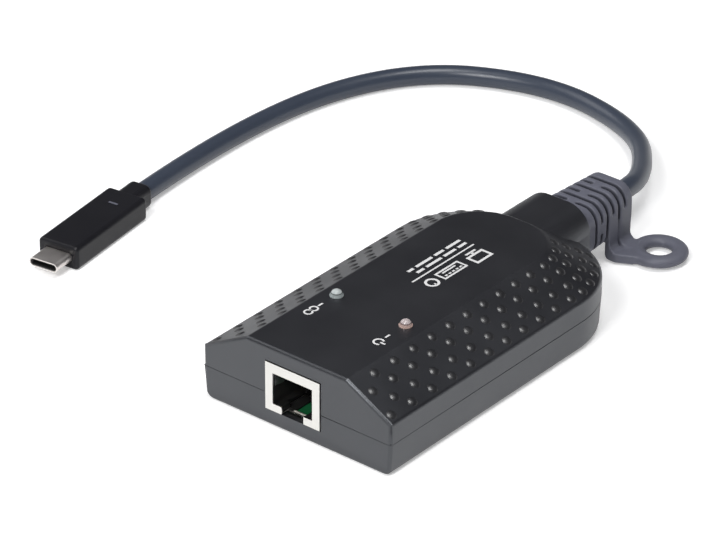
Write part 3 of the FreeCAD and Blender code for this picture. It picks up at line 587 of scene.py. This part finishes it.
def fill_groove(form):
    cx, cy = HALF_W - CORNER_R, BODY_L - CORNER_R
    for vert in form.verts:
        if not GROOVE_LOW - LEVEL < vert.co.z / MM < GROOVE_HIGH + LEVEL:
            continue
        side = math.copysign(1, vert.co.x)
        x, y = abs(vert.co.x) / MM, (vert.co.y - FRONT_Y) / MM
        reach = math.hypot(x - cx, y - cy)
        if x > cx and y > cy and on_floor(CORNER_R - reach):
            grow = 1 + GROOVE_FILL / reach
            x, y = cx + (x - cx) * grow, cy + (y - cy) * grow
        elif on_floor(BODY_L - y):
            y += GROOVE_FILL
        else:
            x += GROOVE_FILL if on_floor(HALF_W - x) else 0
            y -= GROOVE_FILL if on_floor(y) else 0
        vert.co.x, vert.co.y = side * x * MM, FRONT_Y + y * MM


# %% Merged copies
MERGE = 1e-6                  # m
SHARP = 32                    # degrees
RESHAPED = {
    "upper_cover": (level_studs, whole_flats, round_shoulder),
    "lower_tray": (fill_groove,),
}


def merged_copy(node, name, finish):
    """Copy of a CAD node with merged corners and its own changes, evenly shaded."""
    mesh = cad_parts[node].data.copy()
    form = bmesh.new()
    form.from_mesh(mesh)
    bmesh.ops.remove_doubles(form, verts=form.verts, dist=MERGE)
    for change in RESHAPED.get(node, ()):
        change(form)
    form.to_mesh(mesh)
    form.free()
    shade(mesh, SHARP)
    piece = new_piece(name, mesh, finish)
    even = piece.modifiers.new("even_light", "WEIGHTED_NORMAL")
    even.keep_sharp = True
    baked(piece)
    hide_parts(node)
    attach(piece, "root")
    return piece


MERGED = {
    "upper_cover": ("cover_moulding", "housing"),
    "lower_tray": ("tray_moulding", "housing"),
    "jack_shield": ("shield_shell", "shield"),
    "jack_insulator": ("insulator_block", "inner_black"),
    "jack_contacts": ("contact_springs", "gold"),
    "strain_relief": ("relief_moulding", "relief"),
    "plug_overmould": ("overmould_body", "plug"),
    "plug_tip": ("tip_shell", "tip"),
    "plug_insert": ("tip_insert", "inner_black"),
    "plug_contacts": ("tip_contacts", "gold"),
    "link_lamp": ("link_lens", "lamp_clear"),
    "power_lamp": ("power_lens", "lamp_warm"),
    "housing_screws": ("tray_screws", "steel"),
}
pieces = {node: merged_copy(node, *how) for node, how in MERGED.items()}
print("merged copies:", len(pieces))

# %% [markdown]
# ## The strain relief's soft edges
# The relief is moulded from soft rubber, so none of its edges is crisp: the ribs, the tab and
# the eye all end in small rounds. A bevel would trip over the many slots that meet there.
# A voxel remesh builds the same form again from small even faces, and a few rounds of
# smoothing then wear every edge alike. The eye is a ring with an oval section, so its points
# are also drawn to an oval, except where it runs into the tab.

# %% The eye's section
EYE_AT = (15.5, 119.95, 1.95)           # middle of the hanging eye
EYE_R, EYE_RING_R = 7.35, 5.25          # its outside, and the middle of its ring
EYE_THICK = (2.1, 1.45)                 # half the ring's width and height
EYE_MARGIN = 0.6
TAB_BLEND = 2.0                         # width over which the oval gives way to the tab
NOT_ZERO = 0.05


def ring_point(point):
    """Where a point of the eye lies once the ring's section is an oval."""
    away = (point - at(*EYE_AT)) / MM
    reach = math.hypot(away.x, away.y)
    out = (reach - EYE_RING_R) / EYE_THICK[0]
    up = away.z / EYE_THICK[1]
    size = max(math.hypot(out, up), NOT_ZERO)
    free = 1.0 if out < 0 else min(max(max(away.x, away.y) / TAB_BLEND, 0.0), 1.0)
    ring = (EYE_RING_R + out / size * EYE_THICK[0]) / max(reach, NOT_ZERO)
    oval = at(EYE_AT[0] + away.x * ring, EYE_AT[1] + away.y * ring,
              EYE_AT[2] + up / size * EYE_THICK[1])
    return point.lerp(oval, free)


# %% Soften the strain relief
VOXEL = 0.24
WEAR = 0.5                              # how far one round moves a point
RELIEF_ROUNDS, EYE_ROUNDS, OVAL_ROUNDS = 7, 20, 4
SOFT_SHARP = 60                         # degrees


def wear(form, verts, rounds):
    for _ in range(rounds):
        bmesh.ops.smooth_vert(form, verts=verts, factor=WEAR,
                              use_axis_x=True, use_axis_y=True, use_axis_z=True)


def soften(piece):
    remesh = piece.modifiers.new("even_faces", "REMESH")
    remesh.mode = "VOXEL"
    remesh.voxel_size = VOXEL * MM
    worn = piece.modifiers.new("worn_edges", "SMOOTH")
    worn.factor = WEAR
    worn.iterations = RELIEF_ROUNDS
    mesh = baked(piece)
    form = bmesh.new()
    form.from_mesh(mesh)
    middle = at(*EYE_AT)
    eye = [vert for vert in form.verts if (vert.co - middle).length < (EYE_R + EYE_MARGIN) * MM]
    wear(form, eye, EYE_ROUNDS)
    for vert in eye:
        vert.co = ring_point(vert.co)
    wear(form, eye, OVAL_ROUNDS)
    form.to_mesh(mesh)
    form.free()
    shade(mesh, SOFT_SHARP)
    print(piece.name, "has", len(mesh.polygons), "faces")


soften(pieces["strain_relief"])

# %% [markdown]
# ## Parts inside the housing
# The board and what it carries are hidden, apart from a corner of the board behind the jack's
# mouth. Their CAD meshes are good enough as they are, so they only get their finishes.

# %% Inner nodes
KEPT = {
    "circuit_board": "board", "plug_board": "board", "lamp_leads": "can",
    "network_transformer": "inner_black", "main_chip": "inner_black",
    "network_chip": "inner_black", "memory_chip": "inner_black", "crystal_can": "can",
    "capacitors": "can", "cord_header": "nylon", "header_plug": "nylon", "core_wires": "core",
}
for node, finish in KEPT.items():
    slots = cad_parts[node].data.materials
    slots.clear()
    slots.append(finishes[finish])
print("inner nodes with a finish:", len(KEPT))

# %% [markdown]
# ## The grip studs
# The studs keep fingers from slipping when the adapter is pulled. They could be copied one by
# one, or set out by an array along a curve. They are all alike, which makes them work for
# Geometry Nodes: each mark carries the way its slope faces, and the tree puts one low dome on
# every mark. The dome is a flattened ball sunk into the slope.

# %% Marks for the studs
def mark_mesh():
    """Loose points that carry the way their slope faces."""
    mesh = bpy.data.meshes.new("grip_studs")
    mesh.from_pydata([place for place, facing in stud_places], [], [])
    lean = mesh.attributes.new("lean", "FLOAT_VECTOR", "POINT")
    lean.data.foreach_set("vector", [value for place, facing in stud_places for value in facing])
    print("marks:", len(mesh.vertices))
    return mesh


# %% One dome on each mark
STUD_R, STUD_RISE, STUD_SUNK = 1.5, 0.64, 0.32
BALL = {"Segments": 20, "Rings": 14, "Radius": 1.0}
STUD_INPUTS = (("Geometry", "Geometry"), ("Radius", "Float"), ("Height", "Float"),
               ("Lift", "Float"), ("Material", "Material"))


def chain(tree, *nodes):
    """Link each node's first output to the next node's first input."""
    for before, after in zip(nodes, nodes[1:]):
        link(tree, before.outputs[0], after.inputs[0])


def stud_tree():
    """Node tree that puts one flattened ball on every point, turned to its lean."""
    tree = bpy.data.node_groups.new("stud_on_each_mark", "GeometryNodeTree")
    for title, kind in STUD_INPUTS:
        tree.interface.new_socket(title, in_out="INPUT", socket_type="NodeSocket" + kind)
    tree.interface.new_socket("Geometry", in_out="OUTPUT", socket_type="NodeSocketGeometry")
    given = add_node(tree, "NodeGroupInput")
    ball = add_node(tree, "GeometryNodeMeshUVSphere", BALL)
    size = add_node(tree, "ShaderNodeCombineXYZ")
    lift = add_node(tree, "ShaderNodeCombineXYZ")
    flat = add_node(tree, "GeometryNodeTransform")
    lean = add_node(tree, "GeometryNodeInputNamedAttribute", {"Name": "lean"},
                    data_type="FLOAT_VECTOR")
    turn = add_node(tree, "FunctionNodeAlignRotationToVector", axis="Z")
    place = add_node(tree, "GeometryNodeInstanceOnPoints")
    finish = add_node(tree, "GeometryNodeSetMaterial")
    for title, target in (("Radius", size.inputs["X"]), ("Radius", size.inputs["Y"]),
                          ("Height", size.inputs["Z"]), ("Lift", lift.inputs["Z"]),
                          ("Geometry", place.inputs["Points"]),
                          ("Material", finish.inputs["Material"])):
        link(tree, given.outputs[title], target)
    link(tree, size.outputs["Vector"], flat.inputs["Scale"])
    link(tree, lift.outputs["Vector"], flat.inputs["Translation"])
    link(tree, lean.outputs["Attribute"], turn.inputs["Vector"])
    link(tree, turn.outputs["Rotation"], place.inputs["Rotation"])
    link(tree, flat.outputs["Geometry"], place.inputs["Instance"])
    chain(tree, ball, flat)
    chain(tree, place, add_node(tree, "GeometryNodeRealizeInstances"),
          add_node(tree, "GeometryNodeSetShadeSmooth"), finish, add_node(tree, "NodeGroupOutput"))
    return tree


# %% Grow the studs
def grown(name, start_mesh, tree, values, finish):
    """Run a Geometry Nodes tree on a start mesh and keep the result as a plain mesh."""
    seed = place_object(name + "_seed", start_mesh)
    modifier = seed.modifiers.new("grow", "NODES")
    modifier.node_group = tree
    for item in tree.interface.items_tree:
        if item.in_out == "INPUT" and item.name in values:
            modifier[item.identifier] = values[item.name]
    seen = seed.evaluated_get(bpy.context.evaluated_depsgraph_get())
    mesh = bpy.data.meshes.new_from_object(seen)
    bpy.data.objects.remove(seed)
    piece = new_piece(name, mesh, finish)
    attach(piece, "root")
    return piece


stud_values = {"Radius": STUD_R * MM, "Height": STUD_RISE * MM, "Lift": -STUD_SUNK * MM,
               "Material": finishes["stud"]}
studs = grown("grip_studs", mark_mesh(), stud_tree(), stud_values, "stud")
print("stud mesh:", len(studs.data.polygons), "faces")

# %% [markdown]
# ## The print
# White ink on the flat top tells what the adapter joins: a screen, a keyboard and a mouse
# beside a rule, with short bars across from them. Each lamp has a small sign. Ink could be a
# pattern in the material, but its edges would blur when seen close. It is a thin layer of
# real shapes instead, cut from flat outlines.

# %% Flat outlines
RING_STEPS = 20               # steps round half a ring


def bar(x0, x1, y0, y1):
    return [(x0, y0), (x1, y0), (x1, y1), (x0, y1)]


def ring_sector(cx, cy, inner, outer, start, end):
    """Closed outline of a ring or of part of one, in degrees."""
    turns = [math.radians(start + (end - start) * k / RING_STEPS) for k in range(RING_STEPS + 1)]
    out = [(cx + outer * math.cos(a), cy + outer * math.sin(a)) for a in turns]
    back = [(cx + inner * math.cos(a), cy + inner * math.sin(a)) for a in reversed(turns)]
    return out + back


def ring(cx, cy, inner, outer):
    return [ring_sector(cx, cy, inner, outer, start, start + 180) for start in (0, 180)]


def open_box(x0, x1, y0, y1, t):
    """Rectangle with an open middle, as four bars."""
    return [bar(x0, x1, y0, y0 + t), bar(x0, x1, y1 - t, y1),
            bar(x0, x0 + t, y0 + t, y1 - t), bar(x1 - t, x1, y0 + t, y1 - t)]


# %% Raise outlines into a piece
INK, INK_LIFT = 0.03, 0.004   # thickness of the ink, and its gap over the plastic
EDGE_STEPS = 2


def prism(form, outline, z, height):
    """Closed form between an outline at z and a copy of it higher up, with faces outwards."""
    low, high = ([form.verts.new(at(x, y, level)) for x, y in outline]
                 for level in (z, z + height))
    form.faces.new(low[::-1])
    form.faces.new(high)
    for k in range(len(outline)):
        form.faces.new((low[k - 1], low[k], high[k], high[k - 1]))


def raised(name, outlines, z, height, finish, edge=0.0):
    """Piece made of flat outlines, each raised by the same height."""
    form = bmesh.new()
    for outline in outlines:
        prism(form, outline, z, height)
    form.normal_update()
    if edge:
        bmesh.ops.bevel(form, geom=form.edges[:], offset=edge * MM, segments=EDGE_STEPS,
                        affect="EDGES")
    bmesh.ops.recalc_face_normals(form, faces=form.faces)
    mesh = bpy.data.meshes.new(name)
    form.to_mesh(mesh)
    form.free()
    piece = new_piece(name, mesh, finish)
    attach(piece, "root")
    print(name, "has", len(mesh.polygons), "faces")
    return piece


def ink(name, outlines):
    raised(name, outlines, ROOF_Z + INK_LIFT, INK, "print")


# %% Sign for what the adapter joins
RULE_X, RULE_HALF_W, RULE_Y0, RULE_Y1 = -1.1, 0.22, 43.6, 67.0
SCREEN, SCREEN_LINE = (1.6, 5.4, 60.4, 66.4), 0.7
SCREEN_STAND = ((0.4, 1.0, 61.6, 65.2), (0.9, 1.7, 63.0, 63.8))
KEYBOARD, KEYBOARD_LINE = (0.6, 4.2, 49.6, 58.2), 0.55
KEY_X, KEY_Y, KEY_L, KEY_STEP, KEYS = (2.8, 3.3), 50.9, 0.8, 1.35, 5
SPACE_KEY = (1.5, 2.0, 51.4, 56.2)
MOUSE, MOUSE_LINE = (2.6, 46.5, 1.25, 1.9), (3.2, 4.0, 46.3, 46.7)
BAR_ROWS = ((3.0, 4.4, 5.6, 2.6), (5.2, 3.4, 6.0, 2.0))      # lengths of the short bars
BAR_HALF_W, BAR_GAP, BAR_START, ROW_STEP = 0.42, 1.0, 0.6, 1.9


def short_bars():
    shapes = []
    for row, lengths in enumerate(BAR_ROWS, start=1):
        x = RULE_X - ROW_STEP * row
        y = RULE_Y1 - BAR_START
        for length in lengths:
            shapes.append(bar(x - BAR_HALF_W, x + BAR_HALF_W, y - length, y))
            y -= length + BAR_GAP
    return shapes


def purpose_sign():
    rule = bar(RULE_X - RULE_HALF_W, RULE_X + RULE_HALF_W, RULE_Y0, RULE_Y1)
    screen = open_box(*SCREEN, SCREEN_LINE) + [bar(*part) for part in SCREEN_STAND]
    starts = [KEY_Y + KEY_STEP * k for k in range(KEYS)]
    keys = [bar(*KEY_X, y, y + KEY_L) for y in starts]
    keyboard = open_box(*KEYBOARD, KEYBOARD_LINE) + keys + [bar(*SPACE_KEY)]
    mouse = ring(*MOUSE) + [bar(*MOUSE_LINE)]
    return [rule] + screen + keyboard + mouse + short_bars()


ink("print_purpose", purpose_sign())

# %% Signs beside the lamps
LINK_AT, LINK_APART, LINK_RING = (-11.0, 18.6), 1.0, (0.75, 1.2)
POWER_AT, POWER_RING, POWER_OPEN = (10.0, 17.6), (0.95, 1.45), 45
POWER_STROKE = (0.5, 1.9)
POINTER_HALF_W, POINTER_L = 0.25, 1.6   # bar that points at the lamp
LINK_POINTER, POWER_POINTER = 2.6, 2.4  # where it starts, from the sign's middle


def pointer(cx, y):
    return bar(cx - POINTER_HALF_W, cx + POINTER_HALF_W, y, y + POINTER_L)


def link_sign(cx, cy):
    """Two rings held together, and a pointer."""
    rings = ring(cx, cy + LINK_APART, *LINK_RING) + ring(cx, cy - LINK_APART, *LINK_RING)
    return rings + [pointer(cx, cy + LINK_POINTER)]


def power_sign(cx, cy):
    """Broken ring with an upright stroke, and a pointer."""
    broken = ring_sector(cx, cy, *POWER_RING, POWER_OPEN, 360 - POWER_OPEN)
    stroke = bar(cx + POWER_STROKE[0], cx + POWER_STROKE[1],
                 cy - POINTER_HALF_W, cy + POINTER_HALF_W)
    return [broken, stroke, pointer(cx, cy + POWER_POINTER)]


ink("print_link", link_sign(*LINK_AT))
ink("print_power", power_sign(*POWER_AT))

# %% [markdown]
# ## Collars of the lamps
# Each lamp has a low collar where it comes through the top. It could be turned as a profile,
# but at a quarter of a millimetre high a raised disc looks the same.

# %% Collars
LAMP_AT = ((-10.8, 27.6), (10.2, 27.2))
COLLAR_R, COLLAR_H = 1.66, 0.26
DISC_STEPS = 32
DISC_SHARP = 30               # degrees


def disc(cx, cy, radius):
    turns = [math.tau * k / DISC_STEPS for k in range(DISC_STEPS)]
    return [(cx + radius * math.cos(a), cy + radius * math.sin(a)) for a in turns]


for name, spot, finish in zip(("link_collar", "power_collar"), LAMP_AT,
                              ("lamp_clear", "lamp_warm")):
    collar = raised(name, [disc(*spot, COLLAR_R)], ROOF_Z, COLLAR_H, finish)
    shade(collar.data, DISC_SHARP)

# %% [markdown]
# ## Inside the jack's mouth
# A sprung leaf of the shield stands off the side wall, a black rail covers half of the
# opening over the board, and a pale lip closes the front of that opening. All three are small
# and mostly in shadow, so flat outlines raised by a height are enough.

# %% Leaf, rail and lip
JACK_X, MOUTH_HALF, WINDOW_HALF = -0.9, 5.9, 4.4
LATCH_FLOOR = 4.78
WINDOW_Y = (3.02, 9.48)
LEAF_BENDS = ((0.04, 0.5), (0.30, 1.8), (0.42, 3.0), (0.04, 4.4))    # off the wall, and y
LEAF_THICK, LEAF_Z, LEAF_H = 0.14, 10.9, 3.2
RAIL_GAP, RAIL_END, RAIL_H, RAIL_EDGE = 0.04, 1.5, 0.35, 0.05
LIP_X, LIP_Y = (-1.6, 3.1), (2.1, 2.45)
LIP_GAP, LIP_H, LIP_EDGE = 0.02, 0.2, 0.04

wall_x = JACK_X - MOUTH_HALF
leaf_side = [(wall_x + off, y) for off, y in LEAF_BENDS]
leaf = leaf_side + [(x + LEAF_THICK, y) for x, y in reversed(leaf_side)]
rail = bar(JACK_X - WINDOW_HALF + RAIL_GAP, JACK_X - RAIL_END, *WINDOW_Y)
lip = bar(JACK_X + LIP_X[0], JACK_X + LIP_X[1], *LIP_Y)
raised("shield_leaf", [leaf], LEAF_Z, LEAF_H, "steel")
raised("window_rail", [rail], LATCH_FLOOR - RAIL_H, RAIL_H, "inner_black",
       RAIL_EDGE)
raised("floor_lip", [lip], LATCH_FLOOR + LIP_GAP, LIP_H, "nylon",
       LIP_EDGE)

# %% [markdown]
# ## Dash on the plug
# The plug has one small raised dash on its upper side, to feel which way up it is. It lies
# square across the plug, which points the way the cord's last stretch runs.

# %% Dash
PLUG_FRONT = (-95.48, 23.12)            # middle of the overmould's front end
PLUG_TOP_Z = 6.4
DASH_BACK, DASH_W, DASH_L, DASH_H = 23.5, 2.7, 0.65, 0.16
DASH_SUNK, DASH_EDGE = 0.02, 0.05

along = (Vector(CORD_POINTS[-2][:2]) - Vector(CORD_POINTS[-1][:2])).normalized()
across = Vector((along.y, -along.x))
middle = Vector(PLUG_FRONT) + along * DASH_BACK
dash = [middle + across * u * DASH_W / 2 + along * v * DASH_L / 2
        for u, v in ((-1, -1), (1, -1), (1, 1), (-1, 1))]
plug_dash = raised("plug_dash", [dash], PLUG_TOP_Z - DASH_SUNK, DASH_H, "relief",
                   DASH_EDGE)
print("plug dash at", [round(value, 1) for value in middle])

# %% [markdown]
# ## The cord's finish
# The cord gets its finish, the CAD cord is hidden, and the curve is attached to the root.

cord.data.materials.append(finishes["cord"])
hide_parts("cord")
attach(cord, "root")

# %% [markdown]
# ## The floor
# The product stands on a white table. Paper alone would render grey in this plain light, so
# the floor glows a little for the camera and in reflections, and still takes the object's
# shadow. More lamps would whiten it too, but they would also wash out the object.

# %% Floor
FLOOR_COLOUR = (0.86, 0.86, 0.86, 1)
FLOOR_SEEN, FLOOR_MIRRORED = 0.36, 0.20         # glow for the camera, and in reflections
FLOOR_REACH = 6.0                               # m


def floor_material():
    material = bpy.data.materials.new("studio_floor")
    material.use_nodes = True
    tree = material.node_tree
    tree.nodes.clear()
    rays = add_node(tree, "ShaderNodeLightPath")
    paper = add_node(tree, "ShaderNodeBsdfDiffuse", {"Color": FLOOR_COLOUR})
    glow = add_node(tree, "ShaderNodeEmission")
    both = add_node(tree, "ShaderNodeAddShader")
    mirrored = calc(tree, "MULTIPLY", rays.outputs["Is Glossy Ray"], FLOOR_MIRRORED)
    seen = calc(tree, "MULTIPLY_ADD", rays.outputs["Is Camera Ray"], FLOOR_SEEN, mirrored)
    link(tree, seen, glow.inputs["Strength"])
    link(tree, glow.outputs[0], both.inputs[1])
    chain(tree, paper, both, add_node(tree, "ShaderNodeOutputMaterial"))
    return material


def make_floor():
    mesh = bpy.data.meshes.new("studio_floor")
    corners = [(x * FLOOR_REACH, y * FLOOR_REACH, 0)
               for x, y in ((-1, -1), (1, -1), (1, 1), (-1, 1))]
    mesh.from_pydata(corners, [], [(0, 1, 2, 3)])
    mesh.materials.append(floor_material())
    place_object("studio_floor", mesh)
    print("floor reaches", FLOOR_REACH, "m each way")


make_floor()

# %% [markdown]
# ## World and lamps
# Black plastic shows its form almost only by what it reflects, so the surroundings matter
# more than the lamps. A white horizon lights up the upright faces, and a dim sky keeps the
# flat top dark. Three soft boxes draw the highlights: one from above, one from the front and
# one from the left. The camera itself sees plain white behind the object.

# %% World
HORIZON, SKY = (0.72, 0.72, 0.72), (0.09, 0.09, 0.095)
SKY_FROM = 0.20               # height at which the sky is as dark as it gets
WHITE = (1, 1, 1, 1)


def make_world():
    world = bpy.data.worlds.new("studio")
    bpy.context.scene.world = world
    world.use_nodes = True
    tree = world.node_tree
    tree.nodes.clear()
    height = point_axes(tree, "Generated")["Z"]
    around = add_node(tree, "ShaderNodeBackground")
    behind = add_node(tree, "ShaderNodeBackground", {"Color": WHITE})
    rays = add_node(tree, "ShaderNodeLightPath")
    mix = add_node(tree, "ShaderNodeMixShader")
    out = add_node(tree, "ShaderNodeOutputWorld")
    bands = ((0.0, HORIZON), (SKY_FROM, SKY))
    link(tree, colour_bands(tree, height, bands), around.inputs["Color"])
    link(tree, rays.outputs["Is Camera Ray"], mix.inputs[0])
    link(tree, around.outputs[0], mix.inputs[1])
    link(tree, behind.outputs[0], mix.inputs[2])
    link(tree, mix.outputs[0], out.inputs["Surface"])
    print("world:", world.name, "with", len(tree.nodes), "nodes")


make_world()

# %% Soft boxes
SOFT_BOXES = (                # name, place in m, size in m, power in W
    ("high_box", (0.15, 0.0, 1.15), 0.5, 6.6),
    ("front_box", (0.12, -0.80, 0.80), 0.35, 7.0),
    ("left_box", (-0.95, -0.15, 0.75), 0.7, 3.6),
)


def soft_light(name, place, size, power):
    """Square soft box that looks at the middle of the object."""
    data = bpy.data.lights.new(name, "AREA")
    data.size = size
    data.energy = power
    lamp = place_object(name, data)
    middle = (cad_low + cad_high) / 2
    lamp.location = place
    lamp.rotation_euler = (middle - Vector(place)).to_track_quat("-Z", "Y").to_euler()
    print("%s: %.1f W" % (name, power))


for box in SOFT_BOXES:
    soft_light(*box)
bpy.context.scene.view_settings.view_transform = "Standard"
